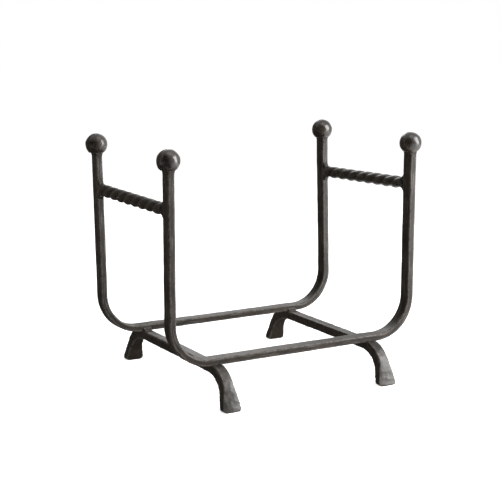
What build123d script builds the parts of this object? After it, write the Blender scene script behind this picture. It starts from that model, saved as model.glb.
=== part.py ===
from build123d import *
import os
from math import atan2, cos, degrees, floor, radians, sin, sqrt, tan

os.makedirs("parts", exist_ok=True)

# Log holder forged from flat bar. Two U-shaped hoops stand across two foot bars, a rope-twist
# rail joins the uprights at each side, and a ball finishes every upright.
# X runs along the width of the hoops, Y from the front hoop to the rear one, and Z is up.
# The origin is on the floor, under the middle. All sizes are in millimetres.

# Flat bar that the hoops are made of. Its width lies front to back, so it is bent the easy way.
hoop_bar_width = 20.0
hoop_bar_thickness = 10.0
hoop_bar_edge = 1.6

# Hoops: sizes are taken on the centre line of the bar
hoop_width = 428.0
hoop_spacing = 254.0
hoop_bend_radius = 62.0
hoop_lean = 1.2
ball_centre_rise = 310.2

# Foot bars: knees are where the lines of bar and foot would meet, before the bend rounds them.
# Knees and sole edges are measured outwards from the middle of the hoop's bottom bar.
foot_bar_spacing = 280.0
foot_bar_top = 63.2
foot_bar_width = 16.5
foot_bar_thickness = 14.5
outer_knee = 40.5
outer_sole_edge = 58.6
outer_bend_radius = 47.5
inner_knee = 28.0
inner_sole_edge = 44.0
inner_bend_radius = 48.0
foot_width = 30.0
foot_flare_height = 50.0
foot_corner_radius = 5.0
bed_margin = 0.15

# The side of a foot's flare is pulled towards two points. Their heights are shares of the flare's
# height, and the lower one stands in from the sole's edge by a share of the flare's run.
flare_low_pull = 0.4
flare_high_pull = 0.6
flare_low_pull_in = 0.2

# Balls: each has a flat on its underside, a little wider than the end of the hoop's bar
ball_diameter = 34.5
ball_flat_margin = 0.3

# Rope-twist rails: two merged strands make a whole number of half turns between short necks
strand_radius = 8.1
strand_offset = 1.9
half_turn_length = 26.5
rail_neck_least = 2.0
rail_neck_height = 14.0
rail_neck_corner = 2.5

# Height of each rail's middle line at the two hoops. Neither is quite level, and the right one
# climbs to the front.
rail_heights = {
    "left": {"front": 304.7, "rear": 306.1},
    "right": {"front": 312.6, "rear": 305.0},
}

# Weld beads
neck_weld_drop = 8.5
neck_weld_rise = 2.0
neck_weld_width = 21.0
neck_weld_thickness = 17.0
neck_weld_corner = 6.0
neck_weld_toe = 0.35
rail_weld_leg = 8.5
seat_weld_leg = 5.0
bead_toe = 0.5
bead_bite = 3.0
bead_hollow = 0.7
bead_end_gap = 1.5

# Places that follow from the sizes above
lean = radians(hoop_lean)
lean_rise = hoop_bar_width * sin(lean)
half_bar_height = (hoop_bar_thickness * cos(lean) + hoop_bar_width * sin(lean)) / 2
hoop_base = foot_bar_top + half_bar_height - lean_rise - bed_margin
ball_radius = ball_diameter / 2
half_bar_diagonal = sqrt(hoop_bar_width**2 + hoop_bar_thickness**2) / 2
ball_flat = sqrt(ball_radius**2 - (half_bar_diagonal + ball_flat_margin) ** 2)
upright_top = ball_centre_rise - ball_flat

# Each end and side has a sign, which is the side of the middle that it stands on
ends = {"front": -1, "rear": 1}
sides = {"left": -1, "right": 1}


def stand(piece, end):
    """Carry a piece from its hoop's own plane to where that hoop stands, leaning outwards."""
    return Location((0, end * hoop_spacing / 2, hoop_base), (-end * hoop_lean, 0, 0)) * piece


def hoop(end):
    """Flat bar bent to a U, with its bottom bar along X."""
    half = hoop_width / 2
    path = FilletPolyline(
        (-half, 0, upright_top),
        (-half, 0, 0),
        (half, 0, 0),
        (half, 0, upright_top),
        radius=hoop_bend_radius,
    )
    section = Plane((-half, 0, upright_top), x_dir=(1, 0, 0), z_dir=(0, 0, -1))
    outline = RectangleRounded(hoop_bar_thickness, hoop_bar_width, hoop_bar_edge)
    return stand(sweep(section * outline, path), end)


def ball(end, side):
    """Ball with a flat on its underside, which sits on the end of the upright."""
    below = Pos(0, 0, -ball_flat) * Box(
        ball_diameter, ball_diameter, ball_diameter, align=(Align.CENTER, Align.CENTER, Align.MAX)
    )
    piece = Sphere(ball_radius) - below
    return stand(Pos(side * hoop_width / 2, 0, ball_centre_rise) * piece, end)


def neck_weld(end, side, upright, knob):
    """Bead round the end of the upright, which swells to meet the ball."""
    toe = neck_weld_toe
    low = Pos(0, 0, upright_top - neck_weld_drop) * RectangleRounded(
        hoop_bar_thickness + 2 * toe, hoop_bar_width + 2 * toe, hoop_bar_edge + toe
    )
    high = Pos(0, 0, upright_top + neck_weld_rise) * RectangleRounded(
        neck_weld_thickness, neck_weld_width, neck_weld_corner
    )
    bead = stand(Pos(side * hoop_width / 2, 0, 0) * loft([low, high], ruled=True), end)
    return bead - upright - knob


def foot_bar(side, hoops):
    """Bar from the front foot to the rear one, bedded a little into both hoops."""
    bent = extrude(Plane.YZ * foot_bar_profile(), foot_width, both=True)
    reach = hoop_spacing / 2 + outer_sole_edge + foot_bar_thickness
    flared = extrude(Plane.XZ * foot_outline(), reach, both=True)
    return Pos(side * foot_bar_spacing / 2, 0, 0) * (bent & flared) - hoops


def foot_bar_profile():
    """Side view of a foot bar, with each foot run on below the floor, to be cut level there."""
    low = -foot_bar_thickness
    lines = []
    for top, knee, sole, radius in (
        (foot_bar_top, outer_knee, outer_sole_edge, outer_bend_radius),
        (foot_bar_top - foot_bar_thickness, inner_knee, inner_sole_edge, inner_bend_radius),
    ):
        knee_at = hoop_spacing / 2 + knee
        low_at = knee_at + (sole - knee) * (top - low) / top
        lines.append(
            FilletPolyline(
                (-low_at, low), (-knee_at, top), (knee_at, top), (low_at, low), radius=radius
            )
        )
    outer, inner = lines
    return make_face([outer, Line(outer @ 1, inner @ 1), inner, Line(inner @ 0, outer @ 0)])


def foot_outline():
    """Front view of a foot bar: a narrow bar that flares to the sole, with round corners."""
    half_bar = foot_bar_width / 2
    half_foot = foot_width / 2
    corner = foot_corner_radius
    flare = foot_flare_height
    low_pull_at = half_foot - (half_foot - half_bar) * flare_low_pull_in
    top = foot_bar_top + foot_bar_thickness
    half = [
        Line((0, 0), (half_foot - corner, 0)),
        RadiusArc((half_foot - corner, 0), (half_foot, corner), -corner),
        Bezier(
            (half_foot, corner),
            (low_pull_at, flare * flare_low_pull),
            (half_bar, flare * flare_high_pull),
            (half_bar, flare),
        ),
        Line((half_bar, flare), (half_bar, top)),
        Line((half_bar, top), (0, top)),
    ]
    right = make_face(half + [Line((0, top), (0, 0))])
    return right + mirror(right, about=Plane.YZ)


def inner_face_at(height):
    """Distance from the middle, along Y, to the inner face of an upright at a height."""
    return hoop_spacing / 2 + (height - hoop_base) * tan(lean) - hoop_bar_width / 2 / cos(lean)


def twisted_rail(side, heights):
    """Rope twist, left-handed, between two short necks that meet the uprights."""
    free = inner_face_at(heights["front"]) + inner_face_at(heights["rear"])
    slope = degrees(atan2(heights["rear"] - heights["front"], free))
    half_turns = floor((free - 2 * rail_neck_least) / half_turn_length)
    twisted = half_turns * half_turn_length
    strands = [Pos(0, at) * Circle(strand_radius) for at in (-strand_offset, strand_offset)]
    middle = Solid.extrude_linear_with_rotation(
        (strands[0] + strands[1]).face(),
        center=(0, 0, 0),
        normal=(0, 0, twisted),
        angle=-180 * half_turns,
    )
    neck = (hoop_spacing + hoop_bar_width - twisted) / 2
    neck_section = RectangleRounded(hoop_bar_thickness, rail_neck_height, rail_neck_corner)
    rail = middle + extrude(Pos(0, 0, twisted) * neck_section, neck)
    rail = rail + extrude(neck_section, -neck)
    rail = Location((0, twisted / 2, 0), (90, 0, 0)) * rail
    middle_height = (heights["front"] + heights["rear"]) / 2
    rail = Location((side * hoop_width / 2, 0, middle_height), (slope, 0, 0)) * rail
    for end in ends.values():
        rail = rail - outside_of_hoop(end)
    return rail


def outside_of_hoop(end):
    """A block far larger than a rail, beyond the inner faces of a hoop's uprights."""
    far = 2 * (hoop_width + ball_centre_rise)
    outwards = Align.MIN if end > 0 else Align.MAX
    block = Box(far, hoop_spacing, far, align=(Align.CENTER, outwards, Align.CENTER))
    return stand(Pos(0, -end * hoop_bar_width / 2, 0) * block, end)


def bead(corner, along, up, leg, length):
    """Hollow-faced bead along X in a corner. It runs past the corner, to be cut back to it."""
    y, z = corner
    outline = make_face(
        [
            Polyline(
                (y + along * bead_toe, z + up * leg),
                (y - along * bead_bite, z + up * leg),
                (y - along * bead_bite, z - up * bead_bite),
                (y + along * leg, z - up * bead_bite),
                (y + along * leg, z + up * bead_toe),
            ),
            SagittaArc(
                (y + along * leg, z + up * bead_toe),
                (y + along * bead_toe, z + up * leg),
                along * up * bead_hollow,
            ),
        ]
    )
    return extrude(Plane.YZ * outline, length / 2, both=True)


def rail_weld(end, side, height, upright, rail):
    """Beads above and below the end of a rail, on the inner face of the upright."""
    beads = []
    for up in (-1, 1):
        corner_height = height + up * rail_neck_height / 2
        corner = (end * inner_face_at(corner_height), corner_height)
        one = bead(corner, -end, up, rail_weld_leg, hoop_bar_thickness - 2 * bead_end_gap)
        beads.append(Pos(side * hoop_width / 2, 0, 0) * one - upright - rail)
    return Compound(children=beads)


def seat_weld(end, side, upright, foot):
    """Bead along the inner side of a hoop, where it crosses a foot bar."""
    corner = (end * inner_face_at(foot_bar_top), foot_bar_top)
    one = bead(corner, -end, 1, seat_weld_leg, foot_bar_width - 2 * bead_end_gap)
    return Pos(side * foot_bar_spacing / 2, 0, 0) * one - upright - foot


def save(piece, name):
    export_step(piece, f"parts/{name}.step")


hoops = {end_name: hoop(end) for end_name, end in ends.items()}
both_hoops = hoops["front"] + hoops["rear"]
for end_name, piece in hoops.items():
    save(piece, f"{end_name}_hoop")

for side_name, side in sides.items():
    foot = foot_bar(side, both_hoops)
    rail = twisted_rail(side, rail_heights[side_name])
    save(foot, f"{side_name}_foot_bar")
    save(rail, f"{side_name}_twisted_rail")
    for end_name, end in ends.items():
        corner_name = f"{end_name}_{side_name}"
        knob = ball(end, side)
        save(knob, f"{corner_name}_ball")
        save(neck_weld(end, side, hoops[end_name], knob), f"{corner_name}_neck_weld")
        height = rail_heights[side_name][end_name]
        save(rail_weld(end, side, height, hoops[end_name], rail), f"{corner_name}_rail_weld")
        save(seat_weld(end, side, hoops[end_name], foot), f"{corner_name}_seat_weld")
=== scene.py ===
from math import atan, cos, pi, radians, sin, sqrt, tan

import bmesh
import bpy
from mathutils import Matrix, Vector


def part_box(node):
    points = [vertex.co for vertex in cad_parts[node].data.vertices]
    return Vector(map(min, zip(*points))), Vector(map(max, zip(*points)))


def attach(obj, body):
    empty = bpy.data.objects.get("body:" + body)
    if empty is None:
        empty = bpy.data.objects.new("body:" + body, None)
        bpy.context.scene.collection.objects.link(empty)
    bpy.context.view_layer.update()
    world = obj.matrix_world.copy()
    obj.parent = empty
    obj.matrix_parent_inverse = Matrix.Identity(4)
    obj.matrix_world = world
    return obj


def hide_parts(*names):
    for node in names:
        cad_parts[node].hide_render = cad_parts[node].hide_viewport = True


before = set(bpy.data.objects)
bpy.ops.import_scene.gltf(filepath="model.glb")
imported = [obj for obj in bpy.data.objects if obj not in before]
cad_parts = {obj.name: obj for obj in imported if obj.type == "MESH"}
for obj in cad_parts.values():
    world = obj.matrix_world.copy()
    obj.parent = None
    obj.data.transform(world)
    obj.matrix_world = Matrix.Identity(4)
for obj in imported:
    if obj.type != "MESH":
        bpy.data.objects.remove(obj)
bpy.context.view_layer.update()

# The camera stands at the front left, a little above the balls, where the photograph was taken.
# Its shift only brings the holder to the place in the frame that it has in the photograph.
frame_px = 500
sensor_mm = 36.0
camera_azimuth = radians(-29.0)
camera_elevation = radians(10.96)
camera_roll = radians(-0.55)
camera_distance = 2.2625
focal_px = 1387.34
centre_px = (253.62, 259.31)
aim = Vector((0.0, 0.0, 0.189))
scene = bpy.context.scene

back = Vector((
    sin(camera_azimuth) * cos(camera_elevation),
    -cos(camera_azimuth) * cos(camera_elevation),
    sin(camera_elevation),
))
level_right = Vector((cos(camera_azimuth), sin(camera_azimuth), 0.0))
level_up = back.cross(level_right)
right = cos(camera_roll) * level_right + sin(camera_roll) * level_up
up = back.cross(right)

lens = bpy.data.cameras.new("camera")
lens.sensor_width = sensor_mm
lens.lens = focal_px / frame_px * sensor_mm
lens.shift_x = -(centre_px[0] - frame_px / 2) / frame_px
lens.shift_y = (centre_px[1] - frame_px / 2) / frame_px
camera = bpy.data.objects.new("camera", lens)
turn = Matrix((right, up, back)).transposed().to_4x4()
camera.matrix_world = Matrix.Translation(aim + camera_distance * back) @ turn
scene.collection.objects.link(camera)
scene.camera = camera

# Studio: a white floor and background. They are white where the camera or a reflection sees them,
# and give the holder only a modest, even light.
scene.view_settings.view_transform = "Standard"
white = (1, 1, 1, 1)
fill_strength = 0.30
floor_white = (0.86, 0.86, 0.86, 1.0)
floor_lift = 0.76
floor_radius = 9.0
floor_sides = 96


def node(tree, kind, inputs=None, **settings):
    """A node with its settings, and its inputs as values or as sockets to link from."""
    made = tree.nodes.new(kind)
    for name, value in settings.items():
        setattr(made, name, value)
    for key, value in (inputs or {}).items():
        if isinstance(value, bpy.types.NodeSocket):
            tree.links.new(value, made.inputs[key])
        else:
            made.inputs[key].default_value = value
    return made


def calc(tree, operation, *values):
    """A Math node's result. Its values are numbers or sockets."""
    return node(tree, "ShaderNodeMath", dict(enumerate(values)), operation=operation).outputs[0]


def material(name):
    """A new material with no nodes but its output."""
    made = bpy.data.materials.new(name)
    made.use_nodes = True
    made.node_tree.nodes.clear()
    made.node_tree.nodes.new("ShaderNodeOutputMaterial")
    return made


def show(tree, shader):
    """Make a shader the one that a material's surface shows."""
    tree.links.new(shader.outputs[0], tree.nodes["Material Output"].inputs["Surface"])


def seen_directly(tree):
    """1 for what the camera, a reflection or a clear surface shows, and 0 for light on the holder."""
    path = node(tree, "ShaderNodeLightPath").outputs
    some = calc(tree, "MAXIMUM", path["Is Camera Ray"], path["Is Glossy Ray"])
    return calc(tree, "MAXIMUM", some, path["Is Transmission Ray"])


world = bpy.data.worlds.new("studio")
scene.world = world
world.use_nodes = True
sky = world.node_tree
sky.nodes.clear()
strength = node(sky, "ShaderNodeMapRange", {
    "Value": seen_directly(sky), "To Min": fill_strength, "To Max": 1.0,
})
backdrop = node(sky, "ShaderNodeBackground", {"Color": white, "Strength": strength.outputs[0]})
node(sky, "ShaderNodeOutputWorld", {"Surface": backdrop.outputs[0]})

floor_look = material("white floor")
tree = floor_look.node_tree
paint = node(tree, "ShaderNodeBsdfDiffuse", {"Color": floor_white})
lift = calc(tree, "MULTIPLY", seen_directly(tree), floor_lift)
glow = node(tree, "ShaderNodeEmission", {"Color": white, "Strength": lift})
show(tree, node(tree, "ShaderNodeAddShader", {0: paint.outputs[0], 1: glow.outputs[0]}))

bpy.ops.mesh.primitive_circle_add(vertices=floor_sides, radius=floor_radius, fill_type="NGON")
floor = bpy.context.object
floor.name = "floor"
floor.data.materials.append(floor_look)

# Lamps: one tall, strong softbox at the front right, and two weak ones, overhead and behind. Dark
# cards at the left rear, behind the camera and on the floor at the left keep the left sides and
# the balls dark, as they are in the photograph.
holder_middle = Vector((0.0, 0.0, 0.19))

# Each softbox has an azimuth and elevation in degrees, a distance, a width and height, and a power
softboxes = {
    "key softbox": (46, 22, 1.7, 0.75, 1.6, 62),
    "overhead softbox": (20, 74, 1.8, 1.1, 1.1, 8),
    "back softbox": (160, 30, 2.2, 0.9, 0.9, 9),
}

# A standing card has an azimuth, a distance, a width and a height. A lying card has the X and Y of
# its middle, a width and a depth.
standing_cards = {
    "upright dark card": (-150, 0.80, 1.7, 1.0),
    "dark card behind camera": (-55, 2.7, 5.0, 4.0),
}
lying_cards = {
    "front lying dark card": (-0.85, -1.15, 1.5, 1.7),
    "lying dark card": (-0.50, 0.425, 1.5, 1.35),
}
card_colour = (0.13, 0.115, 0.10, 1)
lying_card_height = 0.0005


def from_holder(azimuth, elevation, distance):
    """A place seen from the holder's middle. Azimuth 0 is the front, and right of it is positive."""
    a, e = radians(azimuth), radians(elevation)
    return holder_middle + distance * Vector((sin(a) * cos(e), -cos(a) * cos(e), sin(e)))


def facing_holder(place):
    return (place - holder_middle).to_track_quat("Z", "Y").to_matrix().to_4x4()


for name, (azimuth, elevation, distance, width, height, power) in softboxes.items():
    lamp = bpy.data.lights.new(name, "AREA")
    lamp.shape = "RECTANGLE"
    lamp.size = width
    lamp.size_y = height
    lamp.energy = power
    box = bpy.data.objects.new(name, lamp)
    place = from_holder(azimuth, elevation, distance)
    box.matrix_world = Matrix.Translation(place) @ facing_holder(place)
    box.visible_camera = False
    scene.collection.objects.link(box)

card_look = material("dark card")
show(card_look.node_tree, node(card_look.node_tree, "ShaderNodeBsdfDiffuse", {"Color": card_colour}))


def dark_card(name, place, turn, width, height):
    """A card that is seen only in reflections, so that it throws no shadow on the white floor."""
    bpy.ops.mesh.primitive_plane_add(size=1)
    card = bpy.context.object
    card.name = name
    card.data.materials.append(card_look)
    card.matrix_world = Matrix.Translation(place) @ turn @ Matrix.Diagonal((width, height, 1, 1))
    card.visible_camera = False
    card.visible_diffuse = False
    card.visible_shadow = False


for name, (azimuth, distance, width, height) in standing_cards.items():
    spot = from_holder(azimuth, 0, distance)
    dark_card(name, Vector((spot.x, spot.y, height / 2)), facing_holder(spot), width, height)
for name, (x, y, width, depth) in lying_cards.items():
    dark_card(name, Vector((x, y, lying_card_height)), Matrix.Identity(4), width, depth)

# The two hoops: 20 x 10 mm flat bar, bent hot to a U the easy way. Each stands on the foot bars
# and leans outwards a little. The hammer left shallow dishes and soft, uneven edges, and light
# streaks run along the bar.
ends = {"front": -1, "rear": 1}
sides = {"left": -1, "right": 1}
bar_width = 0.020
bar_thickness = 0.010
cad_edge = 0.0016
hoop_spacing = 0.254
hoop_bend_radius = 0.062
lean = radians(1.2)
ball_flat_margin = 0.0003

# Heights and half the width follow from the sizes of the CAD nodes. The CAD bar's own edge radius
# counts only in how low the leaning bottom bar reaches.
low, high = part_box("rear_hoop")
hoop_half_width = (high.x - low.x - bar_thickness) / 2
across_thickness = (bar_thickness / 2 - cad_edge) * cos(lean)
across_width = (bar_width / 2 - cad_edge) * sin(lean)
hoop_base = low.z + across_thickness + across_width + cad_edge
low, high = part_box("rear_left_ball")
ball_radius = (high.x - low.x) / 2
ball_rise = (high.z - ball_radius - hoop_base) / cos(lean)
half_bar_diagonal = sqrt(bar_width**2 + bar_thickness**2) / 2
ball_flat = sqrt(ball_radius**2 - (half_bar_diagonal + ball_flat_margin) ** 2)
upright_top = ball_rise - ball_flat

# Each face of the bar stands out a little from the CAD bar's, nearer to the width that it has in
# the photograph
bar_spread = 0.0003
bar_edge = 0.0011
bar_step = 0.0011
bar_sides = 48
bend_steps = 40
edge_steps = 8
hoop_seed = 3.0

# Sizes of the hammering that all pieces share unless they say otherwise. "Lowest" is the height
# under which no point goes.
wander_size = 0.070
ridge_blur = 9
seed_step = (0.37, 0.71, 0.53)
hammer_inputs = {
    "Blow size": 0.020, "Blow depth": 0.00013, "Grain size": 0.0030, "Grain depth": 0.00004,
    "Wander": 0.00025, "Ridge gain": 900.0, "Seed": 0.0, "Lowest": -1.0,
}

# A pattern's values mostly lie within a quarter of its middle, so four times as much fills its
# depth. The middle of the dishes' values is lower than that of the others.
to_full_depth = 4.0
dish_middle = 0.2
pattern_middle = 0.5
ridge_flat = 0.5


def stand(point, end):
    """Carry a point from a hoop's own plane to where that hoop stands."""
    place = Matrix.Translation((0, end * hoop_spacing / 2, hoop_base))
    return place @ Matrix.Rotation(-end * lean, 4, "X") @ Vector(point)


def vector_calc(tree, operation, *values):
    """A Vector Math node's result. The second value of SCALE is a number."""
    made = node(tree, "ShaderNodeVectorMath", operation=operation)
    for key, value in zip((0, 3 if operation == "SCALE" else 1), values):
        if isinstance(value, bpy.types.NodeSocket):
            tree.links.new(value, made.inputs[key])
        else:
            made.inputs[key].default_value = value
    return made.outputs["Value" if operation == "DOT_PRODUCT" else "Vector"]


def parts(tree, vector):
    """The outputs X, Y and Z of a vector."""
    return node(tree, "ShaderNodeSeparateXYZ", {0: vector}).outputs


def joined(tree, **values):
    """A vector of what is given as X, Y and Z."""
    return node(tree, "ShaderNodeCombineXYZ", values).outputs[0]


def position(tree):
    return node(tree, "GeometryNodeInputPosition").outputs[0]


def new_tree(name, inputs):
    """A tree of geometry nodes with a geometry going in and out, and its named inputs."""
    kinds = {
        float: "NodeSocketFloat", int: "NodeSocketInt", tuple: "NodeSocketVector",
        type(None): "NodeSocketMaterial",
    }
    tree = bpy.data.node_groups.new(name, "GeometryNodeTree")
    for way in ("INPUT", "OUTPUT"):
        tree.interface.new_socket("Geometry", in_out=way, socket_type="NodeSocketGeometry")
    for label, value in inputs.items():
        socket = tree.interface.new_socket(label, in_out="INPUT", socket_type=kinds[type(value)])
        if value is not None:
            socket.default_value = value
    return tree, node(tree, "NodeGroupInput").outputs, node(tree, "NodeGroupOutput").inputs


def remembered(tree, geometry, name, value):
    """The geometry, with a value stored at each point under a name that the material reads."""
    stored = node(tree, "GeometryNodeStoreNamedAttribute", {"Geometry": geometry, "Name": name},
                  data_type="FLOAT", domain="POINT")
    tree.links.new(value, next(s for s in stored.inputs if s.name == "Value" and s.enabled))
    return stored.outputs[0]


def hammered_surface():
    """Hammer dishes, scale grain and the slow wander of hand work, moved into the mesh itself.

    It also stores "ridge": 0.5 where the surface is flat, more on an edge and less in a groove."""
    tree, given, result = new_tree("hammered surface", hammer_inputs)
    place = position(tree)
    way = node(tree, "GeometryNodeInputNormal").outputs[0]
    own_place = vector_calc(tree, "ADD", place, vector_calc(tree, "SCALE", seed_step, given["Seed"]))

    blows = node(tree, "ShaderNodeTexVoronoi", {
        "Vector": own_place, "Scale": calc(tree, "DIVIDE", 1.0, given["Blow size"]), "Smoothness": 0.35,
    }, feature="SMOOTH_F1")
    dish = calc(tree, "POWER", blows.outputs["Distance"], 2.0)
    dish = calc(tree, "SUBTRACT", dish, dish_middle)
    dish = calc(tree, "MULTIPLY", dish, calc(tree, "MULTIPLY", given["Blow depth"], to_full_depth))

    grain = node(tree, "ShaderNodeTexNoise", {
        "Vector": own_place, "Scale": calc(tree, "DIVIDE", 1.0, given["Grain size"]), "Detail": 3.0,
    })
    grain = calc(tree, "SUBTRACT", grain.outputs["Fac"], pattern_middle)
    grain = calc(tree, "MULTIPLY", grain, calc(tree, "MULTIPLY", given["Grain depth"], to_full_depth))
    out_by = vector_calc(tree, "SCALE", way, calc(tree, "ADD", dish, grain))

    slow = node(tree, "ShaderNodeTexNoise", {"Vector": place, "Scale": 1 / wander_size, "Detail": 1.0})
    slow = vector_calc(tree, "SUBTRACT", slow.outputs["Color"], (pattern_middle,) * 3)
    slow = vector_calc(tree, "SCALE", slow, calc(tree, "MULTIPLY", given["Wander"], to_full_depth))

    shifted = parts(tree, vector_calc(tree, "ADD", place, vector_calc(tree, "ADD", out_by, slow)))
    kept_up = calc(tree, "MAXIMUM", shifted["Z"], given["Lowest"])
    moved = node(tree, "GeometryNodeSetPosition", {
        "Geometry": given["Geometry"], "Position": joined(tree, X=shifted["X"], Y=shifted["Y"], Z=kept_up),
    })

    blurred = node(tree, "GeometryNodeBlurAttribute", {"Iterations": ridge_blur}, data_type="FLOAT_VECTOR")
    tree.links.new(place, next(s for s in blurred.inputs if s.type == "VECTOR"))
    softened = next(s for s in blurred.outputs if s.type == "VECTOR")
    stands_out = vector_calc(tree, "DOT_PRODUCT", vector_calc(tree, "SUBTRACT", place, softened), way)
    ridge = calc(tree, "MULTIPLY", stands_out, given["Ridge gain"])
    ridge = calc(tree, "ADD", ridge, ridge_flat)
    tree.links.new(remembered(tree, moved.outputs[0], "ridge", ridge), result["Geometry"])
    return tree


hammering = hammered_surface()


def hammer_and_end(tree, given, result, geometry):
    """The last nodes of every piece's tree: smooth shading, the hammering, and its material."""
    smooth = node(tree, "GeometryNodeSetShadeSmooth", {"Geometry": geometry})
    hammer = node(tree, "GeometryNodeGroup", node_tree=hammering)
    tree.links.new(smooth.outputs[0], hammer.inputs["Geometry"])
    for label in hammer_inputs:
        tree.links.new(given[label], hammer.inputs[label])
    real = node(tree, "GeometryNodeRealizeInstances", {"Geometry": hammer.outputs[0]})
    coated = node(tree, "GeometryNodeSetMaterial", {
        "Geometry": real.outputs[0], "Material": given["Material"],
    })
    tree.links.new(coated.outputs[0], result["Geometry"])


def swept_bar():
    """Flat bar with soft edges along a path of straight runs, which are joined by bends.

    It stores "run" and "girth": how far along the bar, and how far round it, each point is."""
    tree, given, result = new_tree("swept bar", {
        "Width": bar_width + 2 * bar_spread, "Thickness": bar_thickness + 2 * bar_spread,
        "Edge": bar_edge, "Bend radius": hoop_bend_radius, "Step": bar_step,
        "Plane": (0.0, 1.0, 0.0), **hammer_inputs, "Material": None,
    })

    def filleted(curve, count, radius):
        return node(tree, "GeometryNodeFilletCurve", {"Curve": curve, "Count": count, "Radius": radius},
                    mode="POLY").outputs[0]

    def measured(curve, name):
        return remembered(tree, curve, name, node(tree, "GeometryNodeSplineParameter").outputs["Length"])

    path = node(tree, "GeometryNodeMeshToCurve", {"Mesh": given["Geometry"]})
    even = node(tree, "GeometryNodeResampleCurve", {
        "Curve": filleted(path.outputs[0], bend_steps, given["Bend radius"]), "Length": given["Step"],
    }, mode="LENGTH")
    turned = node(tree, "GeometryNodeSetCurveNormal", {
        "Curve": measured(even.outputs[0], "run"), "Normal": given["Plane"],
    }, mode="FREE")
    square = node(tree, "GeometryNodeCurvePrimitiveQuadrilateral", {
        "Width": given["Width"], "Height": given["Thickness"],
    })
    section = node(tree, "GeometryNodeResampleCurve", {
        "Curve": filleted(square.outputs[0], edge_steps, given["Edge"]), "Count": bar_sides,
    }, mode="COUNT")
    body = node(tree, "GeometryNodeCurveToMesh", {
        "Curve": turned.outputs[0], "Profile Curve": measured(section.outputs[0], "girth"),
        "Fill Caps": True,
    })
    hammer_and_end(tree, given, result, body.outputs[0])
    return tree


def made_by(tree, starter, name, values):
    """The plain mesh piece that a tree makes of a starting object, which is then removed."""
    modifier = starter.modifiers.new(tree.name, "NODES")
    modifier.node_group = tree
    for item in tree.interface.items_tree:
        if item.in_out == "INPUT" and item.name in values:
            modifier[item.identifier] = values[item.name]
    evaluated = starter.evaluated_get(bpy.context.evaluated_depsgraph_get())
    mesh = bpy.data.meshes.new_from_object(evaluated)
    mesh.name = name
    bpy.data.objects.remove(starter)
    piece = bpy.data.objects.new(name, mesh)
    scene.collection.objects.link(piece)
    return piece


def starting(points, edges=(), faces=()):
    """An object of loose points, edges or faces, or an empty one, for a tree to start from."""
    mesh = bpy.data.meshes.new("start")
    mesh.from_pydata([tuple(p) for p in points], edges, faces)
    starter = bpy.data.objects.new("start", mesh)
    scene.collection.objects.link(starter)
    return starter


def kept(piece, slot, *cad_nodes):
    """Hand a finished piece to the frame: it moves with the body and stands for its CAD nodes."""
    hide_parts(*cad_nodes)
    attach(piece, "root")


# The finish is a thin dark lacquer over hammered iron: dark and warmer patches, a fine mottle, worn
# edges, and light streaks along the bar. Grooves and hollows are darkened with painted shade.
rub_size = 0.004
rub_polish = 0.12
pit_size = 0.0026
pit_share = 0.3
fine_size = 0.0016
fine_share = 0.7
streak_relief = 2.0
relief_depth = 0.0003


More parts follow.
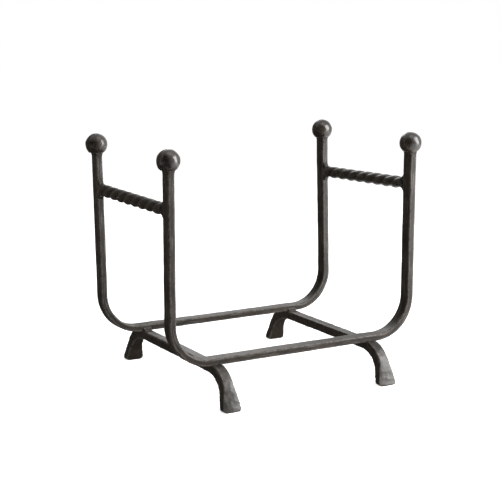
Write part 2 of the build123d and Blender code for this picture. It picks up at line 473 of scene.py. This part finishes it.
def iron_finish():
    """Colour, roughness and fine relief of lacquered black iron, with painted shade in its grooves."""
    group = bpy.data.node_groups.new("iron finish", "ShaderNodeTree")
    inputs = {
        "Dark": (0.009, 0.007, 0.005, 1), "Warm": (0.024, 0.017, 0.012, 1), "Worn": (0.11, 0.10, 0.09, 1),
        "Patch size": 0.035, "Mottle size": 0.007, "Edge wear": 0.6,
        "Roughness": 0.42, "Roughness spread": 0.22,
        "Streaks": 0.0, "Streak length": 0.045, "Streak width": 0.0018,
    }
    for label, value in inputs.items():
        kind = "NodeSocketFloat" if isinstance(value, float) else "NodeSocketColor"
        group.interface.new_socket(label, in_out="INPUT", socket_type=kind).default_value = value
    for label, kind in (("Color", "Color"), ("Roughness", "Float"), ("Height", "Float")):
        group.interface.new_socket(label, in_out="OUTPUT", socket_type=f"NodeSocket{kind}")
    given = node(group, "NodeGroupInput").outputs
    result = node(group, "NodeGroupOutput").inputs
    place = node(group, "ShaderNodeTexCoord").outputs["Object"]

    def noise(size, detail, roughness=0.6):
        return node(group, "ShaderNodeTexNoise", {
            "Vector": place, "Scale": calc(group, "DIVIDE", 1.0, size), "Detail": detail,
            "Roughness": roughness,
        }).outputs["Fac"]

    def spread(value, low, high, to_low=0.0, to_high=1.0):
        return node(group, "ShaderNodeMapRange", {
            "Value": value, "From Min": low, "From Max": high, "To Min": to_low, "To Max": to_high,
        }).outputs[0]

    def mixed(factor, a, b):
        return node(group, "ShaderNodeMix", {0: factor, 6: a, 7: b}, data_type="RGBA").outputs[2]

    def stored(name):
        return node(group, "ShaderNodeAttribute", attribute_name=name).outputs["Fac"]

    patches = spread(noise(given["Patch size"], detail=3.0), low=0.38, high=0.62)
    ground = mixed(patches, given["Dark"], given["Warm"])
    mottle = noise(given["Mottle size"], detail=5.0, roughness=0.65)
    shade = spread(mottle, low=0.3, high=0.7, to_low=0.6, to_high=1.45)
    ground = vector_calc(group, "SCALE", ground, shade)

    edges = spread(stored("ridge"), low=0.62, high=0.95)
    rubbed = calc(group, "MULTIPLY", edges, spread(noise(rub_size, detail=4.0), low=0.35, high=0.6))
    rubbed = calc(group, "MULTIPLY", rubbed, given["Edge wear"])
    colour = mixed(rubbed, ground, given["Worn"])

    along_bar = joined(
        group,
        X=calc(group, "DIVIDE", stored("run"), given["Streak length"]),
        Y=calc(group, "DIVIDE", stored("girth"), given["Streak width"]),
    )
    drawn = node(group, "ShaderNodeTexNoise", {"Vector": along_bar, "Scale": 1.0, "Detail": 2.0})
    drawn = drawn.outputs["Fac"]
    bright = calc(group, "MULTIPLY", spread(drawn, low=0.57, high=0.67), given["Streaks"])
    colour = mixed(bright, colour, given["Worn"])
    # Painted shade: the colour is darkened in grooves and hollows, where the stored ridge value is low.
    groove_shade = spread(stored("ridge"), low=0.15, high=0.46, to_low=0.45, to_high=1.0)
    group.links.new(vector_calc(group, "SCALE", colour, groove_shade), result["Color"])

    uneven = calc(group, "SUBTRACT", mottle, pattern_middle)
    uneven = calc(group, "MULTIPLY", given["Roughness spread"], uneven)
    rough = calc(group, "ADD", given["Roughness"], uneven)
    rough = calc(group, "SUBTRACT", rough, calc(group, "MULTIPLY", rubbed, rub_polish))
    group.links.new(rough, result["Roughness"])

    pits = node(group, "ShaderNodeTexVoronoi", {"Vector": place, "Scale": 1 / pit_size})
    pits = spread(pits.outputs["Distance"], low=0.05, high=0.35)
    fine = calc(group, "MULTIPLY", noise(fine_size, detail=4.0), fine_share)
    relief = calc(group, "ADD", fine, calc(group, "MULTIPLY", pits, pit_share))
    lines = calc(group, "MULTIPLY", calc(group, "MULTIPLY", drawn, given["Streaks"]), streak_relief)
    group.links.new(calc(group, "ADD", relief, lines), result["Height"])
    return group


finish_group = iron_finish()


def iron(name, specular, bump, **changes):
    """A lacquered iron material that takes its pattern from the shared finish."""
    made = material(name)
    tree = made.node_tree
    pattern = node(tree, "ShaderNodeGroup", node_tree=finish_group)
    for label, value in changes.items():
        pattern.inputs[label.replace("_", " ")].default_value = value
    relief = node(tree, "ShaderNodeBump", {
        "Height": pattern.outputs["Height"], "Strength": bump, "Distance": relief_depth,
    })
    show(tree, node(tree, "ShaderNodeBsdfPrincipled", {
        "Base Color": pattern.outputs["Color"], "Roughness": pattern.outputs["Roughness"],
        "Normal": relief.outputs[0], "Metallic": 0.0, "Specular IOR Level": specular,
    }))
    return made


bar_iron = iron("hammered bar iron", specular=0.22, bump=0.35, Streaks=0.6)
bar_tree = swept_bar()
bend_line = ((-1, upright_top), (-1, 0), (1, 0), (1, upright_top))
for end_name, end in ends.items():
    path = [stand((side * hoop_half_width, 0, height), end) for side, height in bend_line]
    hoop = made_by(bar_tree, starting(path, [(0, 1), (1, 2), (2, 3)]), f"hammered_{end_name}_hoop", {
        "Plane": tuple(stand((0, 1, 0), end) - stand((0, 0, 0), end)),
        "Seed": hoop_seed + end, "Material": bar_iron,
    })
    kept(hoop, "forged_bar", f"{end_name}_hoop")


# The foot bars: bar that runs from a front foot to a rear one under both hoops. Each end is bent
# down and spread to a flared sole, and its outer face is closely peened and slightly crowned.
foot_step = 0.0011
foot_soften = 3
foot_half_width = 0.015
foot_crown = 0.0014
foot_seed = 11.0
foot_iron = iron("peened foot iron", specular=0.45, bump=0.6, Mottle_size=0.005, Edge_wear=0.8)


def crowned_foot():
    """A foot bar whose outer faces fall away to both sides, and which is then hammered all over."""
    tree, given, result = new_tree("crowned foot", {
        "Middle": 0.0, "Half width": foot_half_width, "Crown": foot_crown,
        **hammer_inputs, "Material": None,
    })
    spot = parts(tree, position(tree))
    way = parts(tree, node(tree, "GeometryNodeInputNormal").outputs[0])
    across = calc(tree, "SUBTRACT", spot["X"], given["Middle"])
    across = calc(tree, "DIVIDE", across, given["Half width"])
    outwards = calc(tree, "SIGN", spot["Y"])
    faces_out = node(tree, "ShaderNodeMapRange", {
        "Value": calc(tree, "MULTIPLY", way["Y"], outwards), "From Min": 0.2, "From Max": 0.7,
    }).outputs[0]
    drop = calc(tree, "MULTIPLY", calc(tree, "MULTIPLY", across, across), given["Crown"])
    drop = calc(tree, "MULTIPLY", drop, faces_out)
    drop = calc(tree, "MULTIPLY", drop, calc(tree, "MULTIPLY", outwards, -1.0))
    crowned = node(tree, "GeometryNodeSetPosition", {
        "Geometry": given["Geometry"], "Offset": joined(tree, Y=drop),
    })
    hammer_and_end(tree, given, result, crowned.outputs[0])
    return tree


def softened_copy(node_name, step, rounds, fill=0.0):
    """A copy of a CAD node with an even mesh, and edges as soft as a hammer leaves them. Its fill
    moves the whole surface outwards, to make up for what softening takes off a small piece."""
    shape = bmesh.new()
    shape.from_mesh(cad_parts[node_name].data)
    bmesh.ops.remove_doubles(shape, verts=shape.verts, dist=1e-6)
    starter = starting([])
    shape.to_mesh(starter.data)
    shape.free()
    even = starter.modifiers.new("even", "REMESH")
    even.mode = "VOXEL"
    even.voxel_size = step
    even.use_smooth_shade = True
    soft = starter.modifiers.new("soft", "SMOOTH")
    soft.factor = 0.5
    soft.iterations = rounds
    full = starter.modifiers.new("full", "DISPLACE")
    full.mid_level = 0.0
    full.strength = fill
    return starter


foot_tree = crowned_foot()
for side_name, side in sides.items():
    low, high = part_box(f"{side_name}_foot_bar")
    soft_bar = softened_copy(f"{side_name}_foot_bar", foot_step, foot_soften)
    foot_bar = made_by(foot_tree, soft_bar, f"peened_{side_name}_foot_bar", {
        "Middle": (low.x + high.x) / 2, "Blow size": 0.009, "Blow depth": 0.00022,
        "Grain size": 0.0022, "Grain depth": 0.00010, "Lowest": 0.0,
        "Seed": foot_seed + side, "Material": foot_iron,
    })
    kept(foot_bar, "forged_foot", f"{side_name}_foot_bar")


# The rope-twist rails: two strands forged into one bar and twisted left-handed, with a short neck
# that butts against each upright. One joins the two hoops at each side, and neither is quite level.
strand_radius = 0.0081
strand_offset = 0.0019
half_turn_length = 0.0265
half_turns = 9
neck_height = 0.014
neck_squareness = 6.0
blend_length = 0.004
rail_heights = {"left": (0.3047, 0.3061), "right": (0.3126, 0.3050)}
rail_bite = 0.0008
rail_sides = 72
rail_step = 0.0009
rail_seed = 21.0
rail_iron = iron("twisted bar iron", specular=0.32, bump=0.3, Mottle_size=0.005)


def inner_face_at(height):
    """Distance from the middle to the inner face of an upright, at a height above the floor."""
    return hoop_spacing / 2 + (height - hoop_base) * tan(lean) - bar_width / 2 / cos(lean)


def twisted_bar():
    """A straight bar along Y: a neck, a run of twisting strands, and a neck again.

    It starts as a round bar, and each point is then moved in or out to where the strands' or the
    neck's outline lies in its direction from the middle line."""
    tree, given, result = new_tree("twisted bar", {
        "Middle": (0.0, 0.0, 0.0), "Slope": (0.0, 0.0, 0.0), "Length": hoop_spacing,
        "Neck width": bar_thickness, "Neck height": neck_height,
        "Strand radius": strand_radius, "Strand offset": strand_offset,
        "Half turn": half_turn_length, "Half turns": half_turns, "Start turn": pi / 2,
        "Blend": blend_length, "Step": rail_step, **hammer_inputs, "Material": None,
    })
    half = calc(tree, "DIVIDE", given["Length"], 2.0)
    line = node(tree, "GeometryNodeCurvePrimitiveLine", {
        "Start": joined(tree, Y=calc(tree, "MULTIPLY", half, -1.0)), "End": joined(tree, Y=half),
    })
    even = node(tree, "GeometryNodeResampleCurve", {
        "Curve": line.outputs[0], "Length": given["Step"],
    }, mode="LENGTH")
    circle = node(tree, "GeometryNodeCurvePrimitiveCircle", {
        "Resolution": rail_sides, "Radius": given["Strand radius"],
    })
    body = node(tree, "GeometryNodeCurveToMesh", {
        "Curve": even.outputs[0], "Profile Curve": circle.outputs[0], "Fill Caps": True,
    })

    spot = parts(tree, position(tree))
    around = calc(tree, "ARCTAN2", spot["Z"], spot["X"])
    twisted_half = calc(tree, "MULTIPLY", given["Half turn"], given["Half turns"])
    twisted_half = calc(tree, "MULTIPLY", twisted_half, 0.5)
    turned_by = calc(tree, "SUBTRACT", spot["Y"], twisted_half)
    turned_by = calc(tree, "MULTIPLY", calc(tree, "DIVIDE", turned_by, given["Half turn"]), pi)
    on_strands = calc(tree, "SUBTRACT", calc(tree, "SUBTRACT", around, turned_by), given["Start turn"])

    reach = calc(tree, "ABSOLUTE", calc(tree, "COSINE", on_strands))
    reach = calc(tree, "MULTIPLY", reach, given["Strand offset"])
    dip = calc(tree, "MULTIPLY", calc(tree, "SINE", on_strands), given["Strand offset"])
    squared = calc(tree, "POWER", given["Strand radius"], 2.0)
    squared = calc(tree, "SUBTRACT", squared, calc(tree, "MULTIPLY", dip, dip))
    strands = calc(tree, "ADD", reach, calc(tree, "SQRT", squared))

    shares = []
    for operation, size in (("COSINE", "Neck width"), ("SINE", "Neck height")):
        share = calc(tree, "ABSOLUTE", calc(tree, operation, around))
        share = calc(tree, "MULTIPLY", calc(tree, "DIVIDE", share, given[size]), 2.0)
        shares.append(calc(tree, "POWER", share, neck_squareness))
    neck = calc(tree, "POWER", calc(tree, "ADD", *shares), -1 / neck_squareness)

    into = calc(tree, "SUBTRACT", twisted_half, calc(tree, "ABSOLUTE", spot["Y"]))
    share = node(tree, "ShaderNodeMapRange", {
        "Value": into, "From Min": 0.0, "From Max": given["Blend"],
    }, interpolation_type="SMOOTHERSTEP").outputs[0]
    neck_part = calc(tree, "MULTIPLY", neck, calc(tree, "SUBTRACT", 1.0, share))
    radius = calc(tree, "ADD", calc(tree, "MULTIPLY", strands, share), neck_part)
    shaped = node(tree, "GeometryNodeSetPosition", {
        "Geometry": body.outputs[0],
        "Position": joined(
            tree,
            X=calc(tree, "MULTIPLY", radius, calc(tree, "COSINE", around)),
            Y=spot["Y"],
            Z=calc(tree, "MULTIPLY", radius, calc(tree, "SINE", around)),
        ),
    })
    put = node(tree, "GeometryNodeTransform", {
        "Geometry": shaped.outputs[0], "Translation": given["Middle"], "Rotation": given["Slope"],
    })
    hammer_and_end(tree, given, result, put.outputs[0])
    return tree


rail_tree = twisted_bar()
for side_name, side in sides.items():
    front, rear = rail_heights[side_name]
    reach_front, reach_rear = inner_face_at(front), inner_face_at(rear)
    slope = atan((rear - front) / (reach_front + reach_rear))
    rail = made_by(rail_tree, starting([]), f"rope_twist_{side_name}_rail", {
        "Middle": (side * hoop_half_width, (reach_rear - reach_front) / 2, (front + rear) / 2),
        "Slope": (slope, 0.0, 0.0), "Length": (reach_front + reach_rear) / cos(slope) + rail_bite,
        "Blow depth": 0.00008, "Blow size": 0.008, "Seed": rail_seed + side, "Material": rail_iron,
    })
    kept(rail, "twisted_bar", f"{side_name}_twisted_rail")


# The balls: solid iron, forged round and planished, so that they have small flats. Each sits with
# the flat of its underside on the end of an upright, and the weld bead round it holds it there.
# They are a little larger than the CAD ones, nearer to their size in the photograph.
ball_spread = 0.0004
ball_subdivisions = 6
ball_seed = 31.0
ball_iron = iron("planished ball iron", specular=0.5, bump=0.25, Mottle_size=0.006,
                 Roughness=0.28, Roughness_spread=0.12)


def planished_ball():
    """A ball, cut flat beneath, which leans with its hoop."""
    tree, given, result = new_tree("planished ball", {
        "Centre": (0.0, 0.0, 0.0), "Lean": (0.0, 0.0, 0.0),
        "Radius": ball_radius + ball_spread, "Flat": ball_flat, **hammer_inputs, "Material": None,
    })
    round_ball = node(tree, "GeometryNodeMeshIcoSphere", {
        "Radius": given["Radius"], "Subdivisions": ball_subdivisions,
    })
    spot = parts(tree, position(tree))
    level = calc(tree, "MAXIMUM", spot["Z"], calc(tree, "MULTIPLY", given["Flat"], -1.0))
    cut = node(tree, "GeometryNodeSetPosition", {
        "Geometry": round_ball.outputs[0], "Position": joined(tree, X=spot["X"], Y=spot["Y"], Z=level),
    })
    stood = node(tree, "GeometryNodeTransform", {
        "Geometry": cut.outputs[0], "Translation": given["Centre"], "Rotation": given["Lean"],
    })
    hammer_and_end(tree, given, result, stood.outputs[0])
    return tree


ball_tree = planished_ball()
corners = [(end_name, side_name) for end_name in ends for side_name in sides]
for count, (end_name, side_name) in enumerate(corners):
    end, side = ends[end_name], sides[side_name]
    ball = made_by(ball_tree, starting([]), f"planished_{end_name}_{side_name}_ball", {
        "Centre": tuple(stand((side * hoop_half_width, 0, ball_rise), end)),
        "Lean": (-end * lean, 0.0, 0.0), "Blow size": 0.010, "Blow depth": 0.00022,
        "Seed": ball_seed + count, "Material": ball_iron,
    })
    kept(ball, "forged_ball", f"{end_name}_{side_name}_ball")


# The welds: a bead round the top of each upright, dressed to a collar that swells to the ball; beads
# above and below each rail's end; and one bead inside each crossing. All are under the same lacquer.
collar_drop = 0.0095
collar_rise = 0.0030
collar_rings = 16
collar_sides = 72
collar_curve = 2.2
collar_toe = bar_spread + 0.0001
bead_step = 0.00055
bead_soften = 3
bead_fill = 0.0006
weld_seed = 41.0

# The collar's section at its foot and its top: half its size along X and along Y, and its
# squareness, where 2 is an ellipse
collar_low = (bar_thickness / 2 + collar_toe, bar_width / 2 + collar_toe, 7.0)
collar_high = (0.0098, 0.0122, 2.4)
weld_iron = iron("dressed weld iron", specular=0.24, bump=0.45, Mottle_size=0.004, Edge_wear=0.4)


def wrapped_tree():
    """The hammering alone, for a piece whose shape is already made."""
    tree, given, result = new_tree("hammered piece", {**hammer_inputs, "Material": None})
    hammer_and_end(tree, given, result, given["Geometry"])
    return tree


def collar(end, side):
    """Rings from the bar's section, near a rectangle, to a rounder one against the ball."""
    points, faces = [], []
    for ring in range(collar_rings):
        share = ring / (collar_rings - 1)
        swell = share**collar_curve
        half_x, half_y, power = (a + (b - a) * swell for a, b in zip(collar_low, collar_high))
        height = upright_top - collar_drop + share * (collar_drop + collar_rise)
        for step in range(collar_sides):
            angle = 2 * pi * step / collar_sides
            reach = (abs(cos(angle)) ** power + abs(sin(angle)) ** power) ** (-1 / power)
            x = side * hoop_half_width + half_x * reach * cos(angle)
            points.append(stand((x, half_y * reach * sin(angle), height), end))
    for ring in range(collar_rings - 1):
        for step in range(collar_sides):
            a = ring * collar_sides + step
            b = ring * collar_sides + (step + 1) % collar_sides
            faces.append((a, b, b + collar_sides, a + collar_sides))
    top = (collar_rings - 1) * collar_sides
    faces.append(tuple(reversed(range(collar_sides))))
    faces.append(tuple(range(top, top + collar_sides)))
    return starting(points, faces=faces)


surface_tree = wrapped_tree()
for count, (end_name, side_name) in enumerate(corners):
    corner = f"{end_name}_{side_name}"
    shared = {"Grain size": 0.0018, "Wander": 0.0, "Seed": weld_seed + count, "Material": weld_iron}
    neck_start = collar(ends[end_name], sides[side_name])
    neck = made_by(surface_tree, neck_start, f"dressed_{corner}_neck", {
        **shared, "Blow size": 0.006, "Blow depth": 0.00008, "Grain depth": 0.00004,
    })
    kept(neck, "weld_bead", f"{corner}_neck_weld")
    for kind in ("rail_weld", "seat_weld"):
        soft_bead = softened_copy(f"{corner}_{kind}", bead_step, bead_soften, bead_fill)
        bead = made_by(surface_tree, soft_bead, f"laid_{corner}_{kind}", {
            **shared, "Blow size": 0.003, "Blow depth": 0.00012, "Grain depth": 0.00006,
        })
        kept(bead, "weld_bead", f"{corner}_{kind}")
